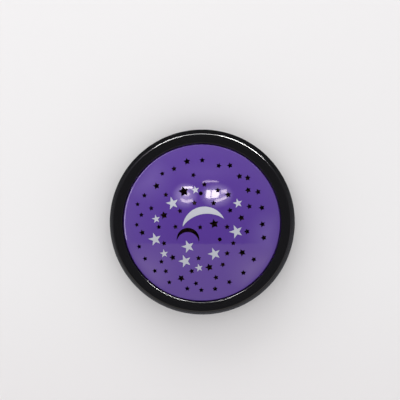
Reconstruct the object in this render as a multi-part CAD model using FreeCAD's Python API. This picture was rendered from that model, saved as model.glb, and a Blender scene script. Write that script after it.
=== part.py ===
import FreeCAD, Part

import math
import os

# Star night light: a push light whose dome, pierced with stars, throws them on the ceiling.
# It lies on its back, dome up. Millimetres, +Z up, origin under the middle of the base.

UP = FreeCAD.Vector(0, 0, 1)
ORIGIN = FreeCAD.Vector(0, 0, 0)

# Driving dimensions of the whole lamp
overall_diameter = 141.4
overall_height = 46.5
foot_height = 1.5
parting_height = 15.0
face_height = 27.0
bezel_band_width = 10.5
push_travel = 3.0

# Clearances
dome_gap = 1.0
running_gap = 0.3
seat_gap = 0.15
thread_gap = 0.05
cut_margin = 1.0

# Walls
floor_thickness = 2.0
base_wall = 2.2
bezel_wall = 2.2
lip_wall = 1.8
dome_wall = 2.0

# Bezel ring
side_flare = 3.0
shoulder_radius = 1.2
face_fall = 0.5
lip_edge_radius = 0.5
lip_depth = 9.0
bezel_foot_radius = 0.5

# Star dome
dome_curve_radius = 96.0
dome_edge_radius = 1.2
flange_reach = 1.8
flange_thickness = 1.7

# Base shell
base_step = 0.7
base_draft = 1.0
base_corner_radius = 1.2
base_inner_corner_radius = 1.0
spigot_height = 2.0
spigot_root = 3.0
spigot_wall = 1.2

# Guide posts, the tubes on the dome that slide over them, and their return springs
guide_angles = (45.0, 165.0, 285.0)
guide_post_radius = 1.4
guide_post_height = 17.5
guide_tube_wall = 0.9
guide_tube_drop = 3.5
spring_seat_height = 1.0
spring_wire = 0.5
spring_post_gap = 0.5

# Screws
case_screw_angles = (105.0, 225.0, 345.0)
case_screw_radius = 1.1
case_screw_head_radius = 2.0
case_screw_head_height = 1.6
case_screw_length = 11.0
case_screw_seat_height = 8.0
case_column_radius = 3.2
boss_radius = 2.8
board_screw_angles = (30.0, 150.0, 270.0)
board_screw_inset = 7.95
board_screw_radius = 0.85
board_screw_head_radius = 2.2
board_screw_head_height = 1.4
board_screw_length = 8.0
board_post_radius = 3.0
door_screw_radius = 0.9
door_screw_head_radius = 1.9
door_screw_head_height = 0.9
door_screw_length = 6.5
door_boss_radius = 3.0
door_boss_height = 7.0
screw_slot_width = 0.6
screw_slot_depth = 0.6
screw_slot_share = 0.7

# Battery bay, for three cells side by side along X
cell_radius = 5.25
cell_length = 44.5
cell_nub_radius = 1.9
cell_nub_height = 1.0
cell_edge_radius = 0.5
cell_pitch = 11.0
cell_count = 3
contact_spring_length = 4.3
contact_spring_radius = 2.6
contact_spring_wire = 0.6
contact_thickness = 0.4
contact_size = 8.6
contact_tab_width = 3.0
contact_tab_reach = 6.0
contact_tab_height = 3.0
bay_wall = 2.4
bay_roof = 1.2
ledge_thickness = 1.5
ledge_overlap = 2.2
door_thickness = 1.9
door_wall_cover = 1.2
door_screw_offset = 5.0
door_end_margin = 3.0
door_corner_radius = 3.0

# Circuit board and what it carries
board_thickness = 1.6
board_edge_gap = 1.5
board_roof_gap = 1.3
lamp_radius = 2.5
lamp_flange_radius = 2.95
lamp_flange_height = 1.0
lamp_height = 8.6
lamp_spacer_height = 4.0
lamp_spacer_radius = 3.2
lamp_leg_width = 0.5
lamp_leg_pitch = 2.54
leg_below_board = 0.8
resistor_radius = 1.15
resistor_length = 6.3
resistor_lead_radius = 0.3
resistor_lead_reach = 1.8
resistor_x = 16.0
resistor_y = 14.0
resistor_lift = 0.5
switch_angle = 336.0
switch_size = 7.0
switch_height = 5.4
switch_floor = 0.6
switch_inset = 5.95
button_radius = 1.6
button_stand_out = 2.9
button_travel_share = 0.9
button_touch_gap = 0.35
finger_radius = 2.5
switch_pin_radius = 0.4
switch_pin_inset = 1.2

# Wires inside
wire_radius = 0.65
wire_run = 6.0
wire_bend_radius = 2.5
wire_bend_share = 0.9
wire_solder_gap = 0.05

# Feet and wall slots
foot_radius = 5.8
foot_recess = 0.8
foot_edge_radius = 0.5
foot_inset = 18.0
foot_angles = (45.0, 135.0, 225.0, 315.0)
keyhole_spacing = 80.0
keyhole_head_radius = 4.0
keyhole_slot_radius = 2.2
keyhole_slot_length = 7.0

# Ink of the print
ink_thickness = 0.08

# The ornament, laid out in plan on a dome of this radius and scaled with it.
# Star: x, y, distance from middle to tip, direction of one arm in degrees.
ornament_dome_radius = 59.2
hole_inner_share = 0.52
print_inner_share = 0.40
STAR_HOLES = (
    (-11.0, 46.4, 2.75, 172), (0.5, 47.4, 2.25, 90), (13.0, 43.2, 2.2, 0), (21.3, 43.4, 2.35, 178),
    (-20.7, 40.9, 2.2, 170), (-29.6, 37.2, 2.0, 172), (-5.9, 36.2, 2.1, 0), (28.5, 35.3, 2.45, 172),
    (34.7, 34.1, 2.45, 90), (-33.9, 28.0, 2.75, 176), (2.3, 29.3, 2.2, 90), (-13.2, 24.0, 4.1, 175),
    (12.4, 25.0, 2.15, 90), (20.1, 21.6, 2.55, 172), (35.0, 24.9, 2.45, 184), (42.4, 23.5, 2.45, 180),
    (-43.0, 20.8, 2.1, 90), (-26.6, 21.5, 2.1, 90), (-5.0, 15.5, 2.1, 90), (9.3, 15.4, 2.2, 90),
    (-48.3, 14.1, 1.9, 90), (-37.7, 11.3, 2.1, 172), (-15.9, 9.4, 2.1, 178), (21.5, 9.9, 2.25, 175),
    (35.9, 12.7, 2.25, 178), (45.3, 11.6, 2.45, 182), (-45.3, 6.2, 2.0, 90), (-28.0, 6.2, 3.05, 174),
    (29.9, 4.2, 2.7, 184), (9.7, 0.0, 3.7, 172), (-48.9, -1.4, 1.9, 180), (-31.9, -2.7, 2.1, 170),
    (-19.3, -2.4, 2.1, 178), (-0.7, -2.6, 2.1, 90), (19.4, -2.4, 2.2, 90), (45.7, -0.8, 2.45, 182),
    (-44.7, -7.2, 2.45, 180), (34.2, -6.1, 2.35, 180), (-28.0, -14.9, 2.1, 175), (24.0, -14.6, 2.1, 90),
    (46.8, -11.0, 2.45, 182), (-47.2, -17.9, 2.0, 175), (30.6, -22.0, 2.95, 188), (-21.5, -25.6, 2.6, 178),
    (-2.0, -25.9, 2.1, 90), (19.4, -22.3, 2.25, 90), (-42.7, -27.0, 2.0, 180), (-30.1, -28.9, 2.0, 90),
    (39.3, -27.4, 2.25, 190), (5.9, -32.9, 3.1, 180), (16.1, -31.0, 2.2, 198), (-35.4, -36.2, 2.0, 180),
    (-26.9, -36.2, 2.1, 180), (-7.3, -35.9, 2.2, 180), (31.5, -37.4, 2.25, 90), (-15.3, -41.6, 2.95, 270),
    (10.9, -40.8, 2.2, 178), (-24.4, -44.8, 2.0, 90), (-4.2, -45.4, 2.1, 180), (21.0, -44.5, 2.2, 70),
    (-10.8, -49.5, 2.15, 90), (-0.2, -50.6, 2.1, 90), (10.2, -49.6, 2.2, 90),
)
ROUND_HOLES = ((-0.3, 22.6, 1.5), (13.9, -11.8, 1.5))
PRINTED_STARS = (
    (-21.7, 15.2, 5.0, 177), (27.3, 15.2, 3.7, 175), (-4.5, 25.2, 3.2, 173), (-34.0, 3.3, 3.3, 173),
    (-34.9, -12.0, 5.1, 177), (26.1, -6.0, 5.3, 182), (-9.9, -17.2, 5.0, 180), (-28.0, -22.7, 3.3, 170),
    (9.7, -22.7, 5.0, 180), (-12.3, -28.3, 5.0, 180), (-1.8, -33.3, 3.2, 174),
)
# Crescent: a disc with a second disc taken out of it, each as x, y, radius
PRINTED_CRESCENT = ((2.5, -3.6, 16.4), (4.7, -14.9, 22.4))
CRESCENT_HOLE = ((-9.8, -11.6, 8.5), (-10.0, -14.6, 8.3))

# Worked out from the sizes above
outer_radius = overall_diameter / 2
lip_radius = outer_radius - bezel_band_width
dome_radius = lip_radius - dome_gap
skirt_inner_radius = dome_radius - dome_wall
dome_centre_z = overall_height - dome_curve_radius
edge_centre_radius = dome_radius - dome_edge_radius
edge_centre_z = dome_centre_z + math.sqrt(
    (dome_curve_radius - dome_edge_radius) ** 2 - edge_centre_radius ** 2
)
lip_bottom = face_height - lip_depth
flange_top = lip_bottom - running_gap
skirt_bottom = flange_top - flange_thickness
flange_radius = dome_radius + flange_reach
floor_top = foot_height + floor_thickness
base_radius = outer_radius - base_step
ornament_scale = dome_radius / ornament_dome_radius

guide_bore_radius = guide_post_radius + running_gap
guide_tube_radius = guide_bore_radius + guide_tube_wall
guide_circle = skirt_inner_radius - guide_tube_radius + guide_tube_wall / 2
guide_tube_bottom = skirt_bottom - guide_tube_drop
guide_post_top = floor_top + guide_post_height
guide_bore_top = guide_post_top + push_travel + cut_margin
spring_inner_radius = guide_post_radius + spring_post_gap
spring_outer_radius = spring_inner_radius + spring_wire
spring_bottom = floor_top + spring_seat_height
spring_top = guide_tube_bottom - running_gap / 2

case_screw_circle = flange_radius + 2 * running_gap + case_column_radius
door_bottom = foot_height
door_top = door_bottom + door_thickness
ledge_bottom = floor_top
ledge_top = ledge_bottom + ledge_thickness
cell_z = door_top + running_gap + cell_radius
bay_ceiling = cell_z + cell_radius + running_gap
bay_half_length = (cell_length + contact_spring_length) / 2 + contact_thickness
bay_half_width = (cell_count - 1) / 2 * cell_pitch + cell_radius + running_gap
cell_shift = contact_spring_length / 2
door_screw_x = bay_half_length + door_screw_offset
door_half_length = door_screw_x + door_end_margin
door_half_width = bay_half_width + door_wall_cover

board_bottom = bay_ceiling + bay_roof + board_roof_gap
board_top = board_bottom + board_thickness
board_radius = guide_circle - guide_tube_radius - board_edge_gap
board_screw_circle = board_radius - board_screw_inset
switch_circle = board_radius - switch_inset
foot_circle = base_radius - foot_inset
switch_top = board_top + switch_height
button_top = switch_top + button_stand_out
button_travel = push_travel * button_travel_share
button_bottom = board_top + switch_floor + button_travel + seat_gap
finger_bottom = button_top + button_touch_gap
lamp_bottom = board_top + lamp_spacer_height


def at(x, y, z):
    return FreeCAD.Vector(x, y, z)


def polar(radius, degrees, z):
    turn = math.radians(degrees)
    return at(radius * math.cos(turn), radius * math.sin(turn), z)


def cylinder(radius, bottom, top, middle=(0.0, 0.0)):
    return Part.makeCylinder(radius, top - bottom, at(middle[0], middle[1], bottom))


def post(radius, bottom, top, circle, degrees):
    return Part.makeCylinder(radius, top - bottom, polar(circle, degrees, bottom))


def block(low, high):
    size = at(*high) - at(*low)
    return Part.makeBox(size.x, size.y, size.z, at(*low))


def rounded_wire(corners):
    """A closed wire through points with their corner radii: a list of (point, radius)."""
    edges = []
    starts = []
    ends = []
    mids = []
    count = len(corners)
    for index in range(count):
        point, radius = corners[index]
        before = (corners[index - 1][0] - point).normalize()
        after = (corners[(index + 1) % count][0] - point).normalize()
        if radius == 0:
            starts.append(point)
            ends.append(point)
            mids.append(None)
            continue
        half_angle = before.getAngle(after) / 2
        reach = radius / math.tan(half_angle)
        bisector = (before + after).normalize()
        centre = point + bisector * (radius / math.sin(half_angle))
        starts.append(point + before * reach)
        ends.append(point + after * reach)
        mids.append(centre - bisector * radius)
    for index in range(count):
        if mids[index] is not None:
            edges.append(Part.Arc(starts[index], mids[index], ends[index]).toShape())
        following = (index + 1) % count
        edges.append(Part.LineSegment(ends[index], starts[following]).toShape())
    return Part.Wire(edges)


def turned(corners):
    """A solid turned about Z from an outline of (radius, height, corner radius)."""
    points = [(at(radius, 0, height), corner) for radius, height, corner in corners]
    return Part.Face(rounded_wire(points)).revolve(ORIGIN, UP, 360)


def rounded_plate(half_x, half_y, corner, bottom, top):
    corners = [
        (at(-half_x, -half_y, bottom), corner),
        (at(half_x, -half_y, bottom), corner),
        (at(half_x, half_y, bottom), corner),
        (at(-half_x, half_y, bottom), corner),
    ]
    return Part.Face(rounded_wire(corners)).extrude(UP * (top - bottom))


def star_prism(x, y, tip, turn, inner_share, bottom, top):
    points = []
    for arm in range(5):
        direction = turn + 72 * arm
        middle = at(x, y, 0) * ornament_scale
        points.append(middle + polar(tip * ornament_scale, direction, bottom))
        points.append(middle + polar(tip * inner_share * ornament_scale, direction + 36, bottom))
    points.append(points[0])
    return Part.Face(Part.makePolygon(points)).extrude(UP * (top - bottom))


def disc_prism(x, y, radius, bottom, top):
    scaled = (x * ornament_scale, y * ornament_scale)
    return cylinder(radius * ornament_scale, bottom, top, scaled)


def crescent_prism(discs, bottom, top):
    outer, taken_out = discs
    return disc_prism(*outer, bottom, top).cut(disc_prism(*taken_out, bottom, top))


def hole_prisms():
    """The cutters of every hole in the dome. They stop above the skirt's flange."""
    bottom = lip_bottom
    top = overall_height + cut_margin
    prisms = [star_prism(*star, hole_inner_share, bottom, top) for star in STAR_HOLES]
    prisms += [disc_prism(*hole, bottom, top) for hole in ROUND_HOLES]
    prisms.append(crescent_prism(CRESCENT_HOLE, bottom, top))
    return Part.makeCompound(prisms)


def curve_arc(centre, radius, start_angle, end_angle):
    """An arc in the XZ plane, its angles counted from the X axis."""
    angles = (start_angle, (start_angle + end_angle) / 2, end_angle)
    points = [centre + at(radius * math.cos(a), 0, radius * math.sin(a)) for a in angles]
    return Part.Arc(*points).toShape(), points[0], points[2]


def make_dome_shell():
    curve_centre = at(0, 0, dome_centre_z)
    edge_centre = at(edge_centre_radius, 0, edge_centre_z)
    rise = edge_centre - curve_centre
    edge_angle = math.atan2(rise.z, rise.x)
    outer, apex, outer_end = curve_arc(curve_centre, dome_curve_radius, math.pi / 2, edge_angle)
    edge, _, edge_end = curve_arc(edge_centre, dome_edge_radius, edge_angle, 0)
    inner_curve = dome_curve_radius - dome_wall
    inner_angle = math.acos(skirt_inner_radius / inner_curve)
    inner, inner_start, inner_apex = curve_arc(curve_centre, inner_curve, inner_angle, math.pi / 2)
    corners = [
        edge_end,
        at(dome_radius, 0, flange_top),
        at(flange_radius, 0, flange_top),
        at(flange_radius, 0, skirt_bottom),
        at(skirt_inner_radius, 0, skirt_bottom),
        inner_start,
    ]
    edges = [outer, edge]
    for start, end in zip(corners, corners[1:]):
        edges.append(Part.LineSegment(start, end).toShape())
    edges.append(inner)
    edges.append(Part.LineSegment(inner_apex, apex).toShape())
    return Part.Face(Part.Wire(edges)).revolve(ORIGIN, UP, 360)


def make_star_dome():
    dome = make_dome_shell().cut(hole_prisms())
    inside = make_dome_filling()
    tubes = [
        post(guide_tube_radius, guide_tube_bottom, dome_centre_z + dome_curve_radius, guide_circle, angle)
        for angle in guide_angles
    ]
    finger = post(finger_radius, finger_bottom, overall_height, switch_circle, switch_angle)
    stems = tubes + [finger]
    dome = dome.fuse([stem.common(inside) for stem in stems])
    bores = [
        post(guide_bore_radius, guide_tube_bottom - cut_margin, guide_bore_top, guide_circle, angle)
        for angle in guide_angles
    ]
    return dome.cut(bores).removeSplitter()


def make_dome_filling():
    """The space under the dome's outer skin, which keeps its stems from poking through."""
    skin = dome_wall / 2
    ball = Part.makeSphere(dome_curve_radius - skin, at(0, 0, dome_centre_z))
    drum = cylinder(dome_radius - skin, floor_top, overall_height)
    return ball.common(drum)


def make_printed_ornaments():
    bottom = lip_bottom
    top = overall_height + cut_margin
    middle = at(0, 0, dome_centre_z)
    skin = Part.makeSphere(dome_curve_radius + ink_thickness, middle)
    skin = skin.cut(Part.makeSphere(dome_curve_radius, middle))
    prisms = [star_prism(*star, print_inner_share, bottom, top) for star in PRINTED_STARS]
    prisms.append(crescent_prism(PRINTED_CRESCENT, bottom, top))
    inked = [prism.common(skin) for prism in prisms]
    return Part.makeCompound(inked).cut(hole_prisms())


def make_bezel_ring():
    shoulder = outer_radius - side_flare
    inner_foot = outer_radius - bezel_wall
    inner_shoulder = shoulder - bezel_wall
    ceiling = face_height - bezel_wall
    ring = turned([
        (lip_radius, lip_bottom, 0),
        (lip_radius, face_height - face_fall, lip_edge_radius),
        (shoulder, face_height, shoulder_radius),
        (outer_radius, parting_height, bezel_foot_radius),
        (inner_foot, parting_height, 0),
        (inner_shoulder, ceiling, 0),
        (lip_radius + lip_wall, ceiling, 0),
        (lip_radius + lip_wall, lip_bottom, 0),
    ])
    inside = turned([
        (lip_radius + lip_wall / 2, parting_height, 0),
        (lip_radius + lip_wall / 2, ceiling + bezel_wall / 2, 0),
        (inner_shoulder + bezel_wall / 2, ceiling + bezel_wall / 2, 0),
        (inner_foot + bezel_wall / 2, parting_height, 0),
    ])
    screw_top = case_screw_seat_height + case_screw_length
    for angle in case_screw_angles:
        boss = post(boss_radius, parting_height, face_height, case_screw_circle, angle)
        ring = ring.fuse(boss.common(inside))
        bore = post(
            case_screw_radius + thread_gap, parting_height - cut_margin,
            screw_top + cut_margin, case_screw_circle, angle,
        )
        ring = ring.cut(bore)
    return ring.removeSplitter()


def base_envelope():
    """The tub's outside, filled solid."""
    return turned([
        (0, foot_height, 0),
        (base_radius - base_draft, foot_height, base_corner_radius),
        (base_radius, parting_height, 0),
        (0, parting_height, 0),
    ])


def base_cavity():
    return turned([
        (0, floor_top, 0),
        (base_radius - base_draft - base_wall, floor_top, base_inner_corner_radius),
        (base_radius - base_wall, parting_height + cut_margin, 0),
        (0, parting_height + cut_margin, 0),
    ])


def make_spigot():
    """A low wall rooted on the inside of the tub's wall, which centres the bezel ring."""
    bezel_slope = side_flare / (face_height - parting_height)
    radius = outer_radius - bezel_wall - bezel_slope * spigot_height - seat_gap
    wall_inside = base_radius - base_wall
    spigot = turned([
        (radius - spigot_wall, parting_height - spigot_root, 0),
        (wall_inside + base_wall / 2, parting_height - spigot_root, 0),
        (wall_inside + base_wall / 2, parting_height, 0),
        (radius, parting_height, 0),
        (radius, parting_height + spigot_height, 0),
        (radius - spigot_wall, parting_height + spigot_height, 0),
    ])
    for angle in case_screw_angles:
        spigot = spigot.cut(post(
            boss_radius + running_gap, parting_height, parting_height + spigot_height + cut_margin,
            case_screw_circle, angle,
        ))
    return spigot


def make_battery_bay():
    outer_x = bay_half_length + bay_wall
    outer_y = bay_half_width + bay_wall
    roof_top = bay_ceiling + bay_roof
    walls = block((-outer_x, -outer_y, ledge_bottom), (outer_x, outer_y, roof_top))
    ledge = rounded_plate(
        door_half_length + ledge_overlap, door_half_width + ledge_overlap,
        door_corner_radius + ledge_overlap, ledge_bottom, ledge_top,
    )
    bay = walls.fuse(ledge)
    for side in (-1, 1):
        bay = bay.fuse(cylinder(
            door_boss_radius, ledge_bottom, ledge_bottom + door_boss_height, (side * door_screw_x, 0.0),
        ))
    return bay


def bay_cutters():
    """What is taken out of the tub at the battery bay: the cells' space, door recess and slots."""
    half_x = bay_half_length
    half_y = bay_half_width
    cutters = [block((-half_x, -half_y, foot_height - cut_margin), (half_x, half_y, bay_ceiling))]
    cutters.append(rounded_plate(
        door_half_length + running_gap, door_half_width + running_gap,
        door_corner_radius + running_gap, foot_height - cut_margin, ledge_bottom,
    ))
    for side in (-1, 1):
        cutters.append(cylinder(
            door_screw_radius + thread_gap, ledge_bottom - cut_margin,
            ledge_bottom + door_screw_length, (side * door_screw_x, 0.0),
        ))
        cutters.append(tab_slot(side))
    return cutters


def tab_height():
    return cell_z + contact_tab_height


def terminal_y(side):
    return side * cell_pitch


def tab_slot(side):
    gap = seat_gap
    wall_inside = side * (bay_half_length - cut_margin)
    wall_outside = side * (bay_half_length + bay_wall + cut_margin)
    low_x, high_x = sorted((wall_inside, wall_outside))
    half_width = contact_tab_width / 2 + gap
    y = terminal_y(side)
    low = (low_x, y - half_width, tab_height() - gap)
    high = (high_x, y + half_width, tab_height() + contact_thickness + gap)
    return block(low, high)


def keyhole_cutter(side):
    """A round opening for a wall screw's head, with a narrower slot that runs up from it."""
    x = side * keyhole_spacing / 2
    bottom = foot_height - cut_margin
    top = floor_top + cut_margin
    head = cylinder(keyhole_head_radius, bottom, top, (x, 0.0))
    slot = block(
        (x - keyhole_slot_radius, 0, bottom), (x + keyhole_slot_radius, keyhole_slot_length, top)
    )
    end = cylinder(keyhole_slot_radius, bottom, top, (x, keyhole_slot_length))
    return head.fuse([slot, end])


def make_base_shell():
    additions = [make_spigot(), make_battery_bay()]
    for angle in guide_angles:
        additions.append(post(guide_post_radius, foot_height, guide_post_top, guide_circle, angle))
        additions.append(post(
            spring_outer_radius + guide_tube_wall, foot_height, spring_bottom, guide_circle, angle,
        ))
    for angle in case_screw_angles:
        column = post(case_column_radius, foot_height, parting_height, case_screw_circle, angle)
        additions.append(column.common(base_envelope()))
    for angle in board_screw_angles:
        additions.append(post(board_post_radius, foot_height, board_bottom, board_screw_circle, angle))
    shell = base_envelope().cut(base_cavity()).fuse(additions)
    cutters = bay_cutters()
    for angle in case_screw_angles:
        cutters.append(post(
            case_screw_head_radius + running_gap, foot_height - cut_margin,
            case_screw_seat_height, case_screw_circle, angle,
        ))
        cutters.append(post(
            case_screw_radius + running_gap, foot_height, parting_height + cut_margin,
            case_screw_circle, angle,
        ))
    for angle in board_screw_angles:
        cutters.append(post(
            board_screw_radius + thread_gap, board_top - board_screw_length - cut_margin,
            board_bottom + cut_margin, board_screw_circle, angle,
        ))
    for angle in foot_angles:
        cutters.append(post(
            foot_radius + seat_gap, foot_height - cut_margin, foot_height + foot_recess,
            foot_circle, angle,
        ))
    cutters += [keyhole_cutter(side) for side in (-1, 1)]
    return shell.cut(cutters).removeSplitter()


def make_rubber_feet():
    foot_top = foot_height + foot_recess
    feet = []
    for angle in foot_angles:
        foot = turned([
            (0, 0, 0),
            (foot_radius, 0, foot_edge_radius),
            (foot_radius, foot_top, 0),
            (0, foot_top, 0),
        ])
        foot.translate(polar(foot_circle, angle, 0))
        feet.append(foot)
    return Part.makeCompound(feet)


def screw(head_radius, head_height, shaft_radius, length):
    """A screw with its head down: the head's seat is at z = 0 and the shaft runs up."""
    head = cylinder(head_radius, -head_height, 0)
    shaft = cylinder(shaft_radius, -head_height / 2, length)
    body = head.fuse(shaft)
    half = screw_slot_width / 2
    reach = head_radius * screw_slot_share
    for reach_x, reach_y in ((reach, half), (half, reach)):
        body = body.cut(block(
            (-reach_x, -reach_y, -head_height - cut_margin),
            (reach_x, reach_y, -head_height + screw_slot_depth),
        ))
    return body.removeSplitter()


def make_case_screws():
    screws = []
    for angle in case_screw_angles:
        one = screw(case_screw_head_radius, case_screw_head_height, case_screw_radius, case_screw_length)
        one.translate(polar(case_screw_circle, angle, case_screw_seat_height))
        screws.append(one)
    return Part.makeCompound(screws)


def make_battery_door():
    door = rounded_plate(door_half_length, door_half_width, door_corner_radius, door_bottom, door_top)
    for side in (-1, 1):
        middle = (side * door_screw_x, 0.0)
        seat = door_bottom + door_screw_head_height
        door = door.cut(cylinder(
            door_screw_head_radius + seat_gap, door_bottom - cut_margin, seat, middle,
        ))
        door = door.cut(cylinder(door_screw_radius + seat_gap, door_bottom, door_top + cut_margin, middle))
    return door.removeSplitter()


def make_door_screws():
    screws = []
    for side in (-1, 1):
        one = screw(door_screw_head_radius, door_screw_head_height, door_screw_radius, door_screw_length)
        one.translate(at(side * door_screw_x, 0, door_bottom + door_screw_head_height))
        screws.append(one)
    return Part.makeCompound(screws)


def cell_y(index):
    return (index - (cell_count - 1) / 2) * cell_pitch


def cell_direction(index):
    """The end that a cell's plus pole faces: neighbours lie head to tail."""
    return 1 if index % 2 == 0 else -1


def make_cell(index):
    direction = cell_direction(index)
    can_length = cell_length - cell_nub_height
    cell = turned([
        (0, 0, 0),
        (cell_radius, 0, cell_edge_radius),
        (cell_radius, can_length, cell_edge_radius),
        (cell_nub_radius, can_length, 0),
        (cell_nub_radius, cell_length, 0),
        (0, cell_length, 0),
    ])
    cell.rotate(ORIGIN, at(0, 1, 0), 90 * direction)
    cell.translate(at(direction * (cell_shift - cell_length / 2), cell_y(index), cell_z))
    return cell


def contact_plate(side, first_y, last_y):
    """A flat contact against the bay's end wall, from one cell's middle to another's."""
    inner_x = side * (bay_half_length - contact_thickness)
    low_x, high_x = sorted((inner_x, side * bay_half_length))
    half = contact_size / 2
    low_y, high_y = sorted((first_y, last_y))
    return block((low_x, low_y - half, cell_z - half), (high_x, high_y + half, cell_z + half))


def terminal(side):
    y = terminal_y(side)
    plate = contact_plate(side, y, y)
    far = side * (bay_half_length + contact_tab_reach)
    low_x, high_x = sorted((side * (bay_half_length - contact_thickness), far))
    half = contact_tab_width / 2
    z = tab_height()
    tab = block((low_x, y - half, z), (high_x, y + half, z + contact_thickness))
    return plate.fuse(tab).removeSplitter()


def make_contact_springs():
    """One coil behind each cell's minus pole, as sleeves of the coils' outer size."""
    springs = []
    for index in range(cell_count):
        side = -cell_direction(index)
        start = side * (bay_half_length - contact_thickness)
        middle = at(start, cell_y(index), cell_z)
        away = at(-side, 0, 0)
        bore_radius = contact_spring_radius - contact_spring_wire
        outer = Part.makeCylinder(contact_spring_radius, contact_spring_length, middle, away)
        inner = Part.makeCylinder(bore_radius, contact_spring_length, middle, away)
        springs.append(outer.cut(inner))
    return Part.makeCompound(springs)


def wire_start(side):
    z = tab_height() + contact_thickness + wire_solder_gap + wire_radius
    return at(side * (bay_half_length + bay_wall + wire_radius), terminal_y(side), z)


def make_wire(side):
    """A wire along the terminal's tab and up to the underside of the board."""
    start = wire_start(side)
    corner = start + at(side * wire_run, 0, 0)
    end = at(corner.x, corner.y, board_bottom)
    bend = min(wire_bend_radius, (end.z - corner.z) * wire_bend_share)
    first = corner - at(side * bend, 0, 0)
    last = corner + at(0, 0, bend)
    centre = first + at(0, 0, bend)
    middle = centre + at(side * bend * math.sin(math.pi / 4), 0, -bend * math.cos(math.pi / 4))
    path = Part.Wire([
        Part.LineSegment(start, first).toShape(),
        Part.Arc(first, middle, last).toShape(),
        Part.LineSegment(last, end).toShape(),
    ])
    section = Part.Wire(Part.makeCircle(wire_radius, start, at(side, 0, 0)))
    return path.makePipeShell([section], True, False)


def make_led_board():
    board = cylinder(board_radius, board_bottom, board_top)
    cutters = []
    for angle in board_screw_angles:
        cutters.append(post(
            board_screw_radius + running_gap, board_bottom - cut_margin, board_top + cut_margin,
            board_screw_circle, angle,
        ))
    for side in (-1, 1):
        cutters.append(cylinder(
            lamp_leg_width, board_bottom - cut_margin, board_top + cut_margin,
            (side * lamp_leg_pitch / 2, 0.0),
        ))
    for middle in switch_pin_places():
        cutters.append(cylinder(
            switch_pin_radius + seat_gap, board_bottom - cut_margin, board_top + cut_margin, middle,
        ))
    return board.cut(cutters)


def make_board_screws():
    screws = []
    for angle in board_screw_angles:
        one = screw(
            board_screw_head_radius, board_screw_head_height, board_screw_radius, board_screw_length
        )
        one.rotate(ORIGIN, at(1, 0, 0), 180)
        one.translate(polar(board_screw_circle, angle, board_top))
        screws.append(one)
    return Part.makeCompound(screws)


def make_lamp_spacer():
    spacer = cylinder(lamp_spacer_radius, board_top, lamp_bottom)
    for side in (-1, 1):
        spacer = spacer.cut(cylinder(
            lamp_leg_width, board_top - cut_margin, lamp_bottom + cut_margin,
            (side * lamp_leg_pitch / 2, 0.0),
        ))
    return spacer


def make_lamp():
    tip = lamp_bottom + lamp_height
    centre_z = tip - lamp_radius
    shape = cylinder(lamp_flange_radius, lamp_bottom, lamp_bottom + lamp_flange_height)
    shape = shape.fuse(cylinder(lamp_radius, lamp_bottom, centre_z))
    shape = shape.fuse(Part.makeSphere(lamp_radius, at(0, 0, centre_z)))
    return shape.removeSplitter()


def make_lamp_legs():
    half = lamp_leg_width / 2
    legs = []
    for side in (-1, 1):
        x = side * lamp_leg_pitch / 2
        legs.append(block((x - half, -half, board_bottom - leg_below_board), (x + half, half, lamp_bottom)))
    return Part.makeCompound(legs)


def make_resistor():
    z = board_top + resistor_lift + resistor_radius
    half = resistor_length / 2
    far = half + resistor_lead_reach
    along = at(1, 0, 0)
    body_end = at(resistor_x - half, resistor_y, z)
    lead_end = at(resistor_x - far, resistor_y, z)
    body = Part.makeCylinder(resistor_radius, resistor_length, body_end, along)
    lead = Part.makeCylinder(resistor_lead_radius, 2 * far, lead_end, along)
    parts = [lead]
    for side in (-1, 1):
        leg_x = resistor_x + side * far
        parts.append(cylinder(resistor_lead_radius, board_top, z, (leg_x, resistor_y)))
        parts.append(Part.makeSphere(resistor_lead_radius, at(leg_x, resistor_y, z)))
    return body.fuse(parts).removeSplitter()


def turned_about_switch(shape):
    """Moves a shape made round the origin to the switch's place, square to the dome's radius."""
    shape.rotate(ORIGIN, UP, switch_angle)
    shape.translate(polar(switch_circle, switch_angle, 0))
    return shape


def make_switch_housing():
    half = switch_size / 2
    body = block((-half, -half, board_top), (half, half, switch_top))
    well = cylinder(button_radius + running_gap, board_top + switch_floor, switch_top + cut_margin)
    return turned_about_switch(body.cut(well))


def make_switch_button():
    return turned_about_switch(cylinder(button_radius, button_bottom, button_top))


def switch_pin_places():
    reach = switch_size / 2 - switch_pin_inset
    places = []
    for x, y in ((-reach, -reach), (reach, -reach), (reach, reach), (-reach, reach)):
        turn = math.radians(switch_angle)
        middle = polar(switch_circle, switch_angle, 0)
        places.append((
            middle.x + x * math.cos(turn) - y * math.sin(turn),
            middle.y + x * math.sin(turn) + y * math.cos(turn),
        ))
    return places


def make_switch_pins():
    bottom = board_bottom - leg_below_board
    return Part.makeCompound([
        cylinder(switch_pin_radius, bottom, board_top, middle) for middle in switch_pin_places()
    ])


def make_return_springs():
    """The springs that lift the dome, as sleeves of the coils' outer size."""
    springs = []
    for angle in guide_angles:
        outer = post(spring_outer_radius, spring_bottom, spring_top, guide_circle, angle)
        inner = post(spring_inner_radius, spring_bottom, spring_top, guide_circle, angle)
        springs.append(outer.cut(inner))
    return Part.makeCompound(springs)


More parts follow.
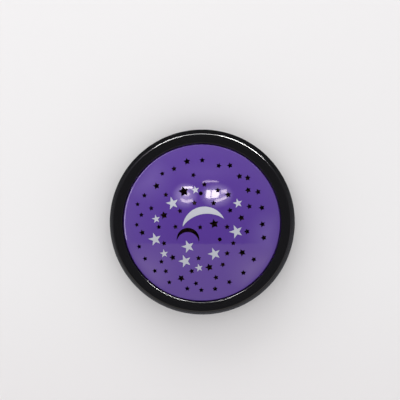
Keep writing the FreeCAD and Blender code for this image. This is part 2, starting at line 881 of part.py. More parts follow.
def all_parts():
    parts = {
        "base_shell": make_base_shell(),
        "bezel_ring": make_bezel_ring(),
        "star_dome": make_star_dome(),
        "printed_ornaments": make_printed_ornaments(),
        "rubber_feet": make_rubber_feet(),
        "case_screws": make_case_screws(),
        "battery_door": make_battery_door(),
        "battery_door_screws": make_door_screws(),
        "contact_springs": make_contact_springs(),
        "right_bridge_contact": contact_plate(1, cell_y(0), cell_y(1)),
        "left_bridge_contact": contact_plate(-1, cell_y(1), cell_y(2)),
        "positive_terminal": terminal(1),
        "negative_terminal": terminal(-1),
        "red_wire": make_wire(1),
        "black_wire": make_wire(-1),
        "lamp_board": make_led_board(),
        "board_screws": make_board_screws(),
        "lamp": make_lamp(),
        "lamp_spacer": make_lamp_spacer(),
        "lamp_legs": make_lamp_legs(),
        "resistor": make_resistor(),
        "switch_housing": make_switch_housing(),
        "switch_button": make_switch_button(),
        "switch_pins": make_switch_pins(),
        "return_springs": make_return_springs(),
    }
    for index in range(cell_count):
        parts["battery_%d" % (index + 1)] = make_cell(index)
    return parts


def main():
    os.makedirs("parts", exist_ok=True)
    for name, shape in all_parts().items():
        shape.exportStep("parts/%s.step" % name)
        print(name, "solids", len(shape.Solids), "volume", round(shape.Volume, 1), "valid", shape.isValid())


main()
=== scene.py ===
# %% [markdown]
# # Star night light
# A battery lamp for a bedroom or nursery. Its purple dome is pierced with stars, and pressing
# the dome switches on the lamp inside, which throws the stars on the ceiling. The solid model
# gives every part its place and its movement. The cells below dress it: smooth mouldings where
# the plastic is glossy, wound springs, print, finishes and the studio it is seen in.

import math

import bpy
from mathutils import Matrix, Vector


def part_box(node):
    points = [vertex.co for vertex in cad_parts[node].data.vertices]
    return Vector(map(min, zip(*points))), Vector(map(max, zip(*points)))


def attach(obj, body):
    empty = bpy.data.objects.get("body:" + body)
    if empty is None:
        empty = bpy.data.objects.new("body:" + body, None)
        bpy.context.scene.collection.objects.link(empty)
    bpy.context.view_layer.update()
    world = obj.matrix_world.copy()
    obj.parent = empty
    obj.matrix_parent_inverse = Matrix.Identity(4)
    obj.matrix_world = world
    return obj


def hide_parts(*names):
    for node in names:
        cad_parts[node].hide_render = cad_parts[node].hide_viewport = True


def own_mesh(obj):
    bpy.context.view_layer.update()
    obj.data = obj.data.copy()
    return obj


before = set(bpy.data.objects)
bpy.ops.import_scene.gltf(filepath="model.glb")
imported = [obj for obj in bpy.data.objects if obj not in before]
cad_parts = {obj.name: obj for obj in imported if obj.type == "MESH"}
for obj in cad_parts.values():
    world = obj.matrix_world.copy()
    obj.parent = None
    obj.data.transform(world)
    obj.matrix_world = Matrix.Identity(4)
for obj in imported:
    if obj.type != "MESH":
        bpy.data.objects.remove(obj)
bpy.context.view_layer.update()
MM = 0.001

# %% [markdown]
# ## Sizes
# Everything is in millimetres, as on a maker's drawing, and turned into metres where a mesh is
# made. The dome is a shallow cap of a ball of 96 mm radius. It sits in the ring with a
# 1 mm gap all round, so that it can be pressed without rubbing.

# %%
lamp_radius_overall = 70.7
dome_top = 46.5
dome_curve = 96.0
dome_radius = 59.2
dome_wall = 2.0
dome_edge = 1.2
skirt_bottom = 16.0
flange_top = 17.7
flange_radius = 61.0
dome_middle_z = dome_top - dome_curve
dome_inner_curve = dome_curve - dome_wall
skirt_inner = dome_radius - dome_wall
edge_middle_radius = dome_radius - dome_edge
edge_middle_z = dome_middle_z + math.sqrt((dome_curve - dome_edge) ** 2 - edge_middle_radius ** 2)
print("dome edge is rounded about", round(edge_middle_radius, 2), round(edge_middle_z, 2))

# %% [markdown]
# The ring is a thin shell with a lip round the dome, and meets the tub at a parting line.

# %%
lip_radius = 60.2
lip_wall = 1.8
lip_bottom = 18.0
parting_height = 15.0
face_height = 27.0
face_fall = 0.5
side_flare = 3.0
bezel_wall = 2.2
shoulder_radius = 1.2
lip_edge = 0.5
foot_edge = 0.5
print("the gap round the dome is", round(lip_radius - dome_radius, 2))

# %% [markdown]
# Under the dome, three tubes slide on the tub's guide posts, and a finger presses the switch. A
# stem reaches a little way into the cap, so that the two melt together.

# %%
guide_angles = (45.0, 165.0, 285.0)
guide_post = 1.4
guide_gap = 0.3
guide_tube_wall = 0.9
guide_tube_radius = guide_post + guide_gap + guide_tube_wall
guide_circle = skirt_inner - guide_tube_radius + guide_tube_wall / 2
guide_tube_drop = 3.5
guide_tube_bottom = skirt_bottom - guide_tube_drop
finger_radius = 2.5
finger_circle = 45.0
finger_angle = 336.0
finger_gap = 0.35
bore_top = 25.0
tube_overlap = 1.5
finger_overlap = 1.0
print("the guide tubes stand", round(guide_circle, 2), "from the middle")

# %% [markdown]
# A spring is given by the radius of its coil, its wire and its turns. The cells lie side by side.

# %%
return_coil_radius = 2.15
return_wire = 0.45
return_turns = 6
contact_coil_radius = 2.2
contact_wire = 0.6
contact_turns = 4
contact_length = 4.3
cell_pitch = 11.0

# %% [markdown]
# ## The ornament
# Five-pointed stars and a crescent moon, the common night-sky ornament. Stars are listed as
# x, y, distance from middle to tip, and the direction of one arm in degrees, seen from above
# with the pattern upright. A crescent is a disc with a second disc taken out of it.

# %%
STAR_HOLES = (
    (-11.0, 46.4, 2.75, 172), (0.5, 47.4, 2.25, 90), (13.0, 43.2, 2.2, 0), (21.3, 43.4, 2.35, 178),
    (-20.7, 40.9, 2.2, 170), (-29.6, 37.2, 2.0, 172), (-5.9, 36.2, 2.1, 0), (28.5, 35.3, 2.45, 172),
    (34.7, 34.1, 2.45, 90), (-33.9, 28.0, 2.75, 176), (2.3, 29.3, 2.2, 90), (-13.2, 24.0, 4.1, 175),
    (12.4, 25.0, 2.15, 90), (20.1, 21.6, 2.55, 172), (35.0, 24.9, 2.45, 184), (42.4, 23.5, 2.45, 180),
    (-43.0, 20.8, 2.1, 90), (-26.6, 21.5, 2.1, 90), (-5.0, 15.5, 2.1, 90), (9.3, 15.4, 2.2, 90),
    (-48.3, 14.1, 1.9, 90), (-37.7, 11.3, 2.1, 172), (-15.9, 9.4, 2.1, 178), (21.5, 9.9, 2.25, 175),
    (35.9, 12.7, 2.25, 178), (45.3, 11.6, 2.45, 182), (-45.3, 6.2, 2.0, 90), (-28.0, 6.2, 3.05, 174),
    (29.9, 4.2, 2.7, 184), (9.7, 0.0, 3.7, 172), (-48.9, -1.4, 1.9, 180), (-31.9, -2.7, 2.1, 170),
    (-19.3, -2.4, 2.1, 178), (-0.7, -2.6, 2.1, 90), (19.4, -2.4, 2.2, 90), (45.7, -0.8, 2.45, 182),
    (-44.7, -7.2, 2.45, 180), (34.2, -6.1, 2.35, 180), (-28.0, -14.9, 2.1, 175), (24.0, -14.6, 2.1, 90),
    (46.8, -11.0, 2.45, 182), (-47.2, -17.9, 2.0, 175), (30.6, -22.0, 2.95, 188), (-21.5, -25.6, 2.6, 178),
    (-2.0, -25.9, 2.1, 90), (19.4, -22.3, 2.25, 90), (-42.7, -27.0, 2.0, 180), (-30.1, -28.9, 2.0, 90),
    (39.3, -27.4, 2.25, 190), (5.9, -32.9, 3.1, 180), (16.1, -31.0, 2.2, 198), (-35.4, -36.2, 2.0, 180),
    (-26.9, -36.2, 2.1, 180), (-7.3, -35.9, 2.2, 180), (31.5, -37.4, 2.25, 90), (-15.3, -41.6, 2.95, 270),
    (10.9, -40.8, 2.2, 178), (-24.4, -44.8, 2.0, 90), (-4.2, -45.4, 2.1, 180), (21.0, -44.5, 2.2, 70),
    (-10.8, -49.5, 2.15, 90), (-0.2, -50.6, 2.1, 90), (10.2, -49.6, 2.2, 90),
)
ROUND_HOLES = ((-0.3, 22.6, 1.5), (13.9, -11.8, 1.5))
CRESCENT_HOLE = ((-9.8, -11.6, 8.5), (-10.0, -14.6, 8.3))
hole_inner_share = 0.52
print(len(STAR_HOLES), "star holes and", len(ROUND_HOLES), "round holes")

# %% [markdown]
# The print adds larger stars and a large crescent between the holes. A star's inner corners lie
# at a share of its tip's distance from the middle, and a smaller share gives slimmer arms.

# %%
PRINTED_STARS = (
    (-21.7, 15.2, 5.0, 177), (27.3, 15.2, 3.7, 175), (-4.5, 25.2, 3.2, 173), (-34.0, 3.3, 3.3, 173),
    (-34.9, -12.0, 5.1, 177), (26.1, -6.0, 5.3, 182), (-9.9, -17.2, 5.0, 180), (-28.0, -22.7, 3.3, 170),
    (9.7, -22.7, 5.0, 180), (-12.3, -28.3, 5.0, 180), (-1.8, -33.3, 3.2, 174),
)
PRINTED_CRESCENT = ((2.5, -3.6, 16.4), (4.7, -14.9, 22.4))
print_inner_share = 0.40
ink_thickness = 0.08
ink_sink = 0.02
print(len(PRINTED_STARS), "printed stars")

# %% [markdown]
# ## Helpers for meshes
# The first few pick a piece, bake its modifiers, and shade it smooth between its sharp edges.


# %%
def clear_selection():
    if bpy.context.object is not None and bpy.context.object.mode != "OBJECT":
        bpy.ops.object.mode_set(mode="OBJECT")
    bpy.ops.object.select_all(action="DESELECT")


def select_only(piece):
    clear_selection()
    piece.select_set(True)
    bpy.context.view_layer.objects.active = piece


def apply_modifiers(piece):
    select_only(piece)
    for modifier in list(piece.modifiers):
        bpy.ops.object.modifier_apply(modifier=modifier.name)


def smooth(piece, degrees=30):
    select_only(piece)
    bpy.ops.object.shade_smooth_by_angle(angle=math.radians(degrees))


# %% [markdown]
# The mould for a round part is turned on a lathe, so the mouldings are made the same way here:
# an outline is drawn point by point from its centre line outwards, and then swept round.


# %%
weld_distance = 0.001


def drawn_outline(name, points):
    """An open chain of edges through points of (x, z) in millimetres."""
    clear_selection()
    bpy.ops.mesh.primitive_plane_add(size=1)
    piece = bpy.context.object
    piece.name = name
    bpy.ops.object.mode_set(mode="EDIT")
    bpy.ops.mesh.merge(type="CENTER")
    first = Vector((points[0][0], 0, points[0][1])) * MM
    bpy.ops.transform.translate(value=first)
    for before, after in zip(points, points[1:]):
        step = Vector((after[0] - before[0], 0, after[1] - before[1])) * MM
        bpy.ops.mesh.extrude_region_move(TRANSFORM_OT_translate={"value": step})
    bpy.ops.object.mode_set(mode="OBJECT")
    return piece


def turned(name, points, steps):
    """A closed round moulding from its outline."""
    piece = drawn_outline(name, points)
    lathe = piece.modifiers.new("lathe", "SCREW")
    lathe.steps = steps
    lathe.render_steps = steps
    lathe.use_merge_vertices = True
    lathe.merge_threshold = weld_distance * MM
    apply_modifiers(piece)
    bpy.ops.object.mode_set(mode="EDIT")
    bpy.ops.mesh.select_all(action="SELECT")
    bpy.ops.mesh.remove_doubles(threshold=weld_distance * MM)
    bpy.ops.mesh.normals_make_consistent(inside=False)
    bpy.ops.object.mode_set(mode="OBJECT")
    return piece


def arc(middle, radius, start, end, count):
    """Points on an arc, its angles in degrees from the X axis."""
    points = []
    for index in range(count + 1):
        angle = math.radians(start + (end - start) * index / count)
        points.append((middle[0] + radius * math.cos(angle), middle[1] + radius * math.sin(angle)))
    return points


# %% [markdown]
# Posts stand on a circle round the middle. Pieces are joined into one, or cut with one another.


# %%
def post(name, radius, bottom, top, circle, degrees, sides=32):
    """An upright round post, its sizes in millimetres."""
    clear_selection()
    turn = math.radians(degrees)
    place = Vector((circle * math.cos(turn), circle * math.sin(turn), (bottom + top) / 2)) * MM
    bpy.ops.mesh.primitive_cylinder_add(
        vertices=sides, radius=radius * MM, depth=(top - bottom) * MM, location=place
    )
    piece = bpy.context.object
    piece.name = name
    bpy.ops.object.transform_apply(location=True, rotation=False, scale=False)
    return piece


def joined(name, pieces):
    clear_selection()
    for piece in pieces:
        piece.select_set(True)
    bpy.context.view_layer.objects.active = pieces[0]
    bpy.ops.object.join()
    result = bpy.context.object
    result.name = name
    return result


def cut(piece, cutter, operation):
    """Takes cutter from piece, keeps what they share, or melts them into one."""
    step = piece.modifiers.new("cut", "BOOLEAN")
    step.operation = operation
    step.solver = "EXACT"
    step.object = cutter
    apply_modifiers(piece)


def remove(piece):
    bpy.data.objects.remove(piece, do_unlink=True)


# %% [markdown]
# ## Cutters for the ornament
# The mould has a steel pin for each hole. Each pin here is a ring of ten points, every other one
# drawn in towards the middle, then filled and pulled up into a prism.


# %%
cut_through = 1.0
CUTTER_BOTTOM = lip_bottom
CUTTER_TOP = dome_top + 2 * cut_through
STAR_CORNERS = 10


def pulled_up(outline):
    """Fills a flat ring of vertices and pulls it up into a prism."""
    bpy.ops.object.mode_set(mode="EDIT")
    bpy.ops.mesh.select_all(action="SELECT")
    bpy.ops.mesh.edge_face_add()
    height = Vector((0, 0, CUTTER_TOP - CUTTER_BOTTOM)) * MM
    bpy.ops.mesh.extrude_region_move(TRANSFORM_OT_translate={"value": height})
    bpy.ops.mesh.select_all(action="SELECT")
    bpy.ops.mesh.normals_make_consistent(inside=False)
    bpy.ops.object.mode_set(mode="OBJECT")
    return outline


def star_pin(x, y, tip, degrees, inner_share):
    clear_selection()
    bpy.ops.mesh.primitive_circle_add(
        vertices=STAR_CORNERS, radius=tip * MM, location=Vector((x, y, CUTTER_BOTTOM)) * MM,
        rotation=(0, 0, math.radians(degrees - 90)),
    )
    pin = bpy.context.object
    for edge in pin.data.edges:
        edge.select = False
    for vertex in pin.data.vertices:
        vertex.select = vertex.index % 2 == 1
    bpy.ops.object.mode_set(mode="EDIT")
    bpy.ops.transform.resize(value=(inner_share, inner_share, 1))
    bpy.ops.object.mode_set(mode="OBJECT")
    bpy.ops.object.transform_apply(location=True, rotation=True, scale=True)
    return pulled_up(pin)


# %% [markdown]
# A crescent's pin is a round pin with a second, longer one taken out of it.


# %%
ROUND_SIDES = 48
CRESCENT_SIDES = 128


def round_pin(x, y, radius, sides, past=0.0):
    """A round pin that reaches past the other pins by so much at both ends."""
    clear_selection()
    bottom = CUTTER_BOTTOM - past
    top = CUTTER_TOP + past
    bpy.ops.mesh.primitive_cylinder_add(
        vertices=sides, radius=radius * MM, depth=(top - bottom) * MM,
        location=Vector((x, y, (bottom + top) / 2)) * MM,
    )
    bpy.ops.object.transform_apply(location=True, rotation=False, scale=False)
    return bpy.context.object


def crescent_pin(discs):
    outer = round_pin(*discs[0], CRESCENT_SIDES)
    taken_out = round_pin(*discs[1], CRESCENT_SIDES, past=cut_through)
    cut(outer, taken_out, "DIFFERENCE")
    remove(taken_out)
    return outer


def hole_pins():
    pins = [star_pin(*star, hole_inner_share) for star in STAR_HOLES]
    pins += [round_pin(*hole, ROUND_SIDES) for hole in ROUND_HOLES]
    pins.append(crescent_pin(CRESCENT_HOLE))
    return joined("hole_pins", pins)


hole_cutter = hole_pins()
print("the hole cutter has", len(hole_cutter.data.polygons), "faces")

# %% [markdown]
# ## The dome
# The purple dome is one injection moulding: a thin cap, a rounded edge and a straight skirt
# that ends in a flange, which the ring holds down. It stands in for the solid model's dome
# because gloss shows every facet. Its rings are about a millimetre apart.


# %%
DOME_STEPS = 300
CAP_RINGS = 56
EDGE_RINGS = 8


def dome_outline():
    edge_rise = math.degrees(math.atan2(edge_middle_z - dome_middle_z, edge_middle_radius))
    inner_end = math.degrees(math.acos(skirt_inner / dome_inner_curve))
    points = arc((0, dome_middle_z), dome_curve, 90, edge_rise, CAP_RINGS)
    points += arc((edge_middle_radius, edge_middle_z), dome_edge, edge_rise, 0, EDGE_RINGS)[1:]
    points += [
        (dome_radius, flange_top),
        (flange_radius, flange_top),
        (flange_radius, skirt_bottom),
        (skirt_inner, skirt_bottom),
    ]
    points += arc((0, dome_middle_z), dome_inner_curve, inner_end, 90, CAP_RINGS)
    return points


def make_dome():
    dome = turned("dome_moulding", dome_outline(), DOME_STEPS)
    cut(dome, hole_cutter, "DIFFERENCE")
    smooth(dome)
    return dome


dome_moulding = make_dome()
print("the dome has", len(dome_moulding.data.polygons), "faces")

# %% [markdown]
# The stems are moulded with the dome. The finger ends just above the switch's button, and its
# height is taken from the solid model.


# %%
def frame_top(node):
    """The highest point of a node of the solid model, in millimetres."""
    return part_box(node)[1][2] / MM


def make_dome_stems():
    """The three guide tubes and the finger that presses the switch, under the dome."""
    stems = []
    for angle in guide_angles:
        reach = math.sqrt(dome_inner_curve ** 2 - (guide_circle + guide_tube_radius) ** 2)
        top = dome_middle_z + reach + tube_overlap
        tube = post("tube", guide_tube_radius, guide_tube_bottom, top, guide_circle, angle)
        bore_radius = guide_post + guide_gap
        bore_bottom = guide_tube_bottom - cut_through
        bore = post("bore", bore_radius, bore_bottom, bore_top, guide_circle, angle)
        cut(tube, bore, "DIFFERENCE")
        remove(bore)
        stems.append(tube)
    reach = math.sqrt(dome_inner_curve ** 2 - (finger_circle + finger_radius) ** 2)
    bottom = frame_top("switch_button") + finger_gap
    top = dome_middle_z + reach + finger_overlap
    stems.append(post("finger", finger_radius, bottom, top, finger_circle, finger_angle))
    result = joined("dome_guide_tubes", stems)
    smooth(result)
    return result


dome_stems = make_dome_stems()
print("the stems have", len(dome_stems.data.polygons), "faces")

# %% [markdown]
# ## The print
# White ink is pressed on with a soft pad after moulding. It lies on the plastic as a film less
# than a tenth of a millimetre thick, and the holes that fall inside it stay open.


# %%
INK_RINGS = 48
ink_reach = 60


def ink_film():
    outside = arc((0, dome_middle_z), dome_curve + ink_thickness, 90, ink_reach, INK_RINGS)
    inside = arc((0, dome_middle_z), dome_curve - ink_sink, ink_reach, 90, INK_RINGS)
    return turned("ink", outside + inside, DOME_STEPS)


def make_print():
    film = ink_film()
    pins = [star_pin(*star, print_inner_share) for star in PRINTED_STARS]
    shapes = joined("print_shapes", pins)
    crescent = crescent_pin(PRINTED_CRESCENT)
    cut(shapes, crescent, "UNION")
    remove(crescent)
    cut(film, shapes, "INTERSECT")
    remove(shapes)
    cut(film, hole_cutter, "DIFFERENCE")
    film.name = "white_print"
    smooth(film)
    return film


white_print = make_print()
remove(hole_cutter)
print("the print has", len(white_print.data.polygons), "faces")

# %% [markdown]
# ## The ring
# The black ring is moulded in high gloss too. Its face is nearly flat, its shoulder is rounded
# tightly and its side flares out towards the base.


# %%
def rounded_corner(before, corner, after, radius, count):
    """Points of a rounded corner between two straight lines, all as (x, z)."""
    here = Vector(corner)
    first = (Vector(before) - here).normalized()
    second = (Vector(after) - here).normalized()
    half = first.angle(second) / 2
    reach = radius / math.tan(half)
    middle = here + (first + second).normalized() * (radius / math.sin(half))
    start = here + first * reach - middle
    end = here + second * reach - middle
    points = []
    for index in range(count + 1):
        direction = start.slerp(end, index / count).normalized()
        points.append(tuple(middle + direction * radius))
    return points


# %% [markdown]
# The outline goes up the lip, over the face, down the side, and back along the inside.


# %%
RING_STEPS = 360
LIP_RINGS = 6
SHOULDER_RINGS = 10
FOOT_RINGS = 5


def make_ring():
    shoulder = lamp_radius_overall - side_flare
    inner_foot = lamp_radius_overall - bezel_wall
    ceiling = face_height - bezel_wall
    lip_foot = (lip_radius, lip_bottom)
    lip_top = (lip_radius, face_height - face_fall)
    shoulder_top = (shoulder, face_height)
    foot = (lamp_radius_overall, parting_height)
    inner = (inner_foot, parting_height)
    points = [lip_foot]
    points += rounded_corner(lip_foot, lip_top, shoulder_top, lip_edge, LIP_RINGS)
    points += rounded_corner(lip_top, shoulder_top, foot, shoulder_radius, SHOULDER_RINGS)
    points += rounded_corner(shoulder_top, foot, inner, foot_edge, FOOT_RINGS)
    points += [
        inner,
        (shoulder - bezel_wall, ceiling),
        (lip_radius + lip_wall, ceiling),
        (lip_radius + lip_wall, lip_bottom),
        lip_foot,
    ]
    ring = turned("ring_moulding", points, RING_STEPS)
    smooth(ring)
    return ring


ring_moulding = make_ring()
print("the ring has", len(ring_moulding.data.polygons), "faces")

# %% [markdown]
# ## The springs
# Three return springs lift the dome, and one small spring presses each battery against its
# contact. They are wound from round steel wire: a path is drawn as a helix and given thickness.


# %%
WIRE_SIDES = 10
STEPS_PER_TURN = 24


def wound_spring(name, start, axis, length, middle_radius, wire, turns):
    """A coil from start along axis, all in millimetres."""
    clear_selection()
    bpy.ops.mesh.primitive_circle_add(
        vertices=WIRE_SIDES, radius=wire / 2 * MM, rotation=(math.pi / 2, 0, 0)
    )
    coil = bpy.context.object
    coil.name = name
    bpy.ops.object.transform_apply(location=False, rotation=True, scale=False)
    bpy.ops.object.mode_set(mode="EDIT")
    bpy.ops.mesh.select_all(action="SELECT")
    bpy.ops.mesh.edge_face_add()
    bpy.ops.transform.translate(value=Vector((middle_radius, 0, wire / 2)) * MM)
    bpy.ops.object.mode_set(mode="OBJECT")
    winding = coil.modifiers.new("winding", "SCREW")
    winding.steps = STEPS_PER_TURN
    winding.render_steps = STEPS_PER_TURN
    winding.iterations = turns
    winding.screw_offset = (length - wire) / turns * MM
    winding.use_normal_calculate = True
    apply_modifiers(coil)
    coil.rotation_mode = "QUATERNION"
    coil.rotation_quaternion = Vector((0, 0, 1)).rotation_difference(Vector(axis))
    coil.location = Vector(start) * MM
    bpy.ops.object.transform_apply(location=True, rotation=True, scale=False)
    bpy.ops.object.mode_set(mode="EDIT")
    bpy.ops.mesh.select_all(action="SELECT")
    bpy.ops.mesh.normals_make_consistent(inside=False)
    bpy.ops.object.mode_set(mode="OBJECT")
    smooth(coil, degrees=50)
    return coil


# %% [markdown]
# The springs' ends are taken from the solid model. The cells lie head to tail, so the contact
# springs sit at the left, at the right and at the left again.


# %%
def return_springs():
    low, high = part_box("return_springs")
    bottom = low[2] / MM
    top = high[2] / MM
    coils = []
    for angle in guide_angles:
        turn = math.radians(angle)
        start = (guide_circle * math.cos(turn), guide_circle * math.sin(turn), bottom)
        coils.append(wound_spring(
            "coil", start, (0, 0, 1), top - bottom, return_coil_radius, return_wire, return_turns
        ))
    return joined("return_coils", coils), bottom


def contact_springs():
    low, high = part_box("contact_springs")
    middle_z = (low[2] + high[2]) / 2 / MM
    coils = []
    for side, y in ((-1, -cell_pitch), (1, 0.0), (-1, cell_pitch)):
        start_x = low[0] / MM if side < 0 else high[0] / MM
        coils.append(wound_spring(
            "coil", (start_x, y, middle_z), (-side, 0, 0), contact_length,
            contact_coil_radius, contact_wire, contact_turns,
        ))
    return joined("contact_coils", coils)


return_coils, spring_seat = return_springs()
contact_coils = contact_springs()
print("springs have", len(return_coils.data.polygons) + len(contact_coils.data.polygons), "faces")

# %% [markdown]
# ## Helpers for materials
# Colours are written as they look on a screen and turned into linear light by one function.


# %%
def colour(text):
    """Red, green, blue and a full alpha from six digits such as ff8800."""
    channels = []
    for index in (0, 2, 4):
        value = int(text[index:index + 2], 16) / 255
        if value <= 0.04045:
            channels.append(value / 12.92)
        else:
            channels.append(((value + 0.055) / 1.055) ** 2.4)
    return (*channels, 1.0)


def new_material(name):
    material = bpy.data.materials.new(name)
    material.use_nodes = True
    return material, material.node_tree.nodes["Principled BSDF"]


def add_node(material, kind, settings, links=()):
    """Adds a node, sets its values, and links its outputs: (output, other node, input)."""
    node = material.node_tree.nodes.new(kind)
    for key, value in settings.items():
        if key in node.inputs:
            node.inputs[key].default_value = value
        else:
            setattr(node, key, value)
    for output, other, socket in links:
        material.node_tree.links.new(node.outputs[output], other.inputs[socket])
    return node


# %% [markdown]
# Plastics and metals differ only in colour, in how polished they are and in their grain.


# %%
def plastic(name, base, roughness):
    material, shader = new_material(name)
    shader.inputs["Base Color"].default_value = colour(base)
    shader.inputs["Roughness"].default_value = roughness
    return material


def metal(name, base, roughness):
    material, shader = new_material(name)
    shader.inputs["Base Color"].default_value = colour(base)
    shader.inputs["Metallic"].default_value = 1.0
    shader.inputs["Roughness"].default_value = roughness
    return material


def textured_plastic(name, base, roughness, grain, depth):
    """Plastic from a spark-eroded mould: a fine even grain, its size and depth in millimetres."""
    material = plastic(name, base, roughness)
    shader = material.node_tree.nodes["Principled BSDF"]
    bump = add_node(
        material, "ShaderNodeBump", {"Strength": 1.0, "Distance": depth * MM},
        (("Normal", shader, "Normal"),),
    )
    noise = add_node(
        material, "ShaderNodeTexNoise", {"Scale": 1 / (grain * MM), "Detail": 2.0},
        (("Fac", bump, "Height"),),
    )
    add_node(material, "ShaderNodeTexCoord", {}, (("Object", noise, "Vector"),))
    return material


def polished_plastic(name, base, roughness, ripple, height):
    """Polished plastic that sank a little as it cooled, so that mirror images waver."""
    return textured_plastic(name, base, roughness, ripple, height)


# %% [markdown]
# ## Finishes
# The dome and the ring are moulded in polished tools, so they mirror the room. The tub and the
# door come from a spark-eroded tool, and are matte.

# %%
purple_gloss = polished_plastic("polished_purple_plastic", "51348a", 0.06, 5.5, 0.025)
black_gloss = plastic("polished_black_plastic", "0d0d0f", 0.09)
black_matte = textured_plastic("eroded_black_plastic", "19191b", 0.5, 0.35, 0.02)
ink = plastic("pad_printed_white_ink", "acafb9", 0.45)
rubber = plastic("moulded_black_rubber", "141416", 0.75)
zinc_steel = metal("zinc_plated_steel", "b4b4b0", 0.35)
nickel_steel = metal("nickel_plated_spring_steel", "c9c8c4", 0.22)
tinned_steel = metal("tinned_steel_wire", "bdbdb8", 0.3)
laminate = plastic("brown_paper_laminate", "6e4028", 0.5)
nylon = plastic("natural_nylon", "e6e3da", 0.45)
lacquer = plastic("beige_resistor_lacquer", "c6a06c", 0.3)
black_nylon = plastic("black_nylon", "1c1c1f", 0.4)
acetal = plastic("white_acetal", "dedbd2", 0.35)
red_pvc = plastic("red_wire_insulation", "a81d24", 0.35)
black_pvc = plastic("black_wire_insulation", "121212", 0.35)
print("plastics and metals mixed")

# %% [markdown]
# The lamp is cast in clear epoxy. A battery has a blue label between its bare zinc ends.


# %%
label_half_length = 19.5
label_edge = 0.2
MIX_SHARE_INPUT = 0
MIX_FIRST_INPUT = 6
MIX_SECOND_INPUT = 7
MIX_RESULT = 2
SHADER_SHARE_INPUT = 0
SHADER_FIRST_INPUT = 1
SHADER_SECOND_INPUT = 2


def colour_blend(material, shader, first, second):
    """Gives the shader a blend of two colours, and returns the blending node."""
    blend = add_node(
        material, "ShaderNodeMix", {"data_type": "RGBA"}, ((MIX_RESULT, shader, "Base Color"),)
    )
    blend.inputs[MIX_FIRST_INPUT].default_value = colour(first)
    blend.inputs[MIX_SECOND_INPUT].default_value = colour(second)
    return blend


def clear_epoxy():
    material, shader = new_material("clear_lamp_epoxy")
    shader.inputs["Base Color"].default_value = colour("f4f6f8")
    shader.inputs["Roughness"].default_value = 0.05
    shader.inputs["Transmission Weight"].default_value = 1.0
    shader.inputs["IOR"].default_value = 1.53
    return material


def battery_finish():
    """A zinc can with a printed label between its bare ends."""
    material, shader = new_material("labelled_zinc_can")
    shader.inputs["Roughness"].default_value = 0.3
    steps = add_node(
        material, "ShaderNodeMapRange",
        {"From Min": label_half_length * MM, "From Max": (label_half_length + label_edge) * MM},
        (("Result", shader, "Metallic"),),
    )
    tint = colour_blend(material, shader, "2b5d92", "c4c4c0")
    material.node_tree.links.new(steps.outputs["Result"], tint.inputs[MIX_SHARE_INPUT])
    distance = add_node(
        material, "ShaderNodeMath", {"operation": "ABSOLUTE"}, (("Value", steps, "Value"),)
    )
    axes = add_node(material, "ShaderNodeSeparateXYZ", {}, (("X", distance, 0),))
    add_node(material, "ShaderNodeTexCoord", {}, (("Object", axes, "Vector"),))
    return material


epoxy = clear_epoxy()
battery_label = battery_finish()
print("epoxy and battery label mixed")

# %% [markdown]
# Then every solid and every new piece is given its finish.

# %%
NODE_FINISHES = {
    "base_shell": black_matte, "battery_door": black_matte, "rubber_feet": rubber,
    "case_screws": zinc_steel, "battery_door_screws": zinc_steel, "board_screws": zinc_steel,
    "right_bridge_contact": nickel_steel, "left_bridge_contact": nickel_steel,
    "positive_terminal": nickel_steel, "negative_terminal": nickel_steel,
    "red_wire": red_pvc, "black_wire": black_pvc, "lamp_board": laminate, "lamp": epoxy,
    "lamp_spacer": nylon, "lamp_legs": tinned_steel, "resistor": lacquer,
    "switch_housing": black_nylon, "switch_button": acetal, "switch_pins": tinned_steel,
    "battery_1": battery_label, "battery_2": battery_label, "battery_3": battery_label,
}


def give(piece, material):
    piece.data.materials.clear()
    piece.data.materials.append(material)


for node_name, finish in NODE_FINISHES.items():
    give(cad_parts[node_name], finish)
give(dome_moulding, purple_gloss)
give(dome_stems, purple_gloss)
give(white_print, ink)
give(ring_moulding, black_gloss)
give(return_coils, nickel_steel)
give(contact_coils, nickel_steel)
print(len(bpy.data.materials), "finishes")

# %% [markdown]
# ## Joining the pieces to the solid model
# Each new piece rides on the body that carries it, and the solids that it stands for are hidden.


# %%
def place(piece, body, slot, nodes=()):
    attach(piece, body)
    if nodes:
        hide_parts(*nodes)


place(dome_moulding, "dome", "purple_shell", ["star_dome"])
place(dome_stems, "dome", "purple_shell", ["star_dome"])
place(white_print, "dome", "white_ink", ["printed_ornaments"])
place(ring_moulding, "housing", "gloss_black", ["bezel_ring"])
place(return_coils, "housing", "contact_steel", ["return_springs"])
place(contact_coils, "housing", "contact_steel", ["contact_springs"])
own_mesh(return_coils)
print("pieces joined to the solid model")

# %% [markdown]
# ## The studio
# The lamp lies on a pale floor in even light. The dome mirrors what stands round the camera:
# a dim room above, a pale table below and daylight through windows. Each of those is a flat
# card, and each card is placed by the spot on the dome where its mirror image is seen.
# The camera is a long lens almost straight above, leaning by a degree or two.

# %%
camera_distance = 1500.0
camera_lean_up = 2.2
camera_lean_right = 1.5
photo_pixels = 400
pixel_size = 0.7555
photo_width_mm = photo_pixels * pixel_size
sensor_width = 36.0
photo_aim = (-1.35, 17.2)

camera_place = Vector((
    camera_distance * math.sin(math.radians(camera_lean_right)),
    camera_distance * math.sin(math.radians(camera_lean_up)),
    camera_distance,
))


def mirrored_ray(x, y):
    """Where the camera sees the dome at (x, y), and the direction that it mirrors there."""
    middle = Vector((0, 0, dome_middle_z))
    height = dome_middle_z + math.sqrt(dome_curve ** 2 - x ** 2 - y ** 2)
    spot = Vector((x, y, height))
    normal = (spot - middle).normalized()
    sight = (spot - camera_place).normalized()
    return spot, sight - 2 * sight.dot(normal) * normal


def card_corner(x, y, height):
    spot, direction = mirrored_ray(x, y)
    return spot + direction * ((height - spot.z) / direction.z)


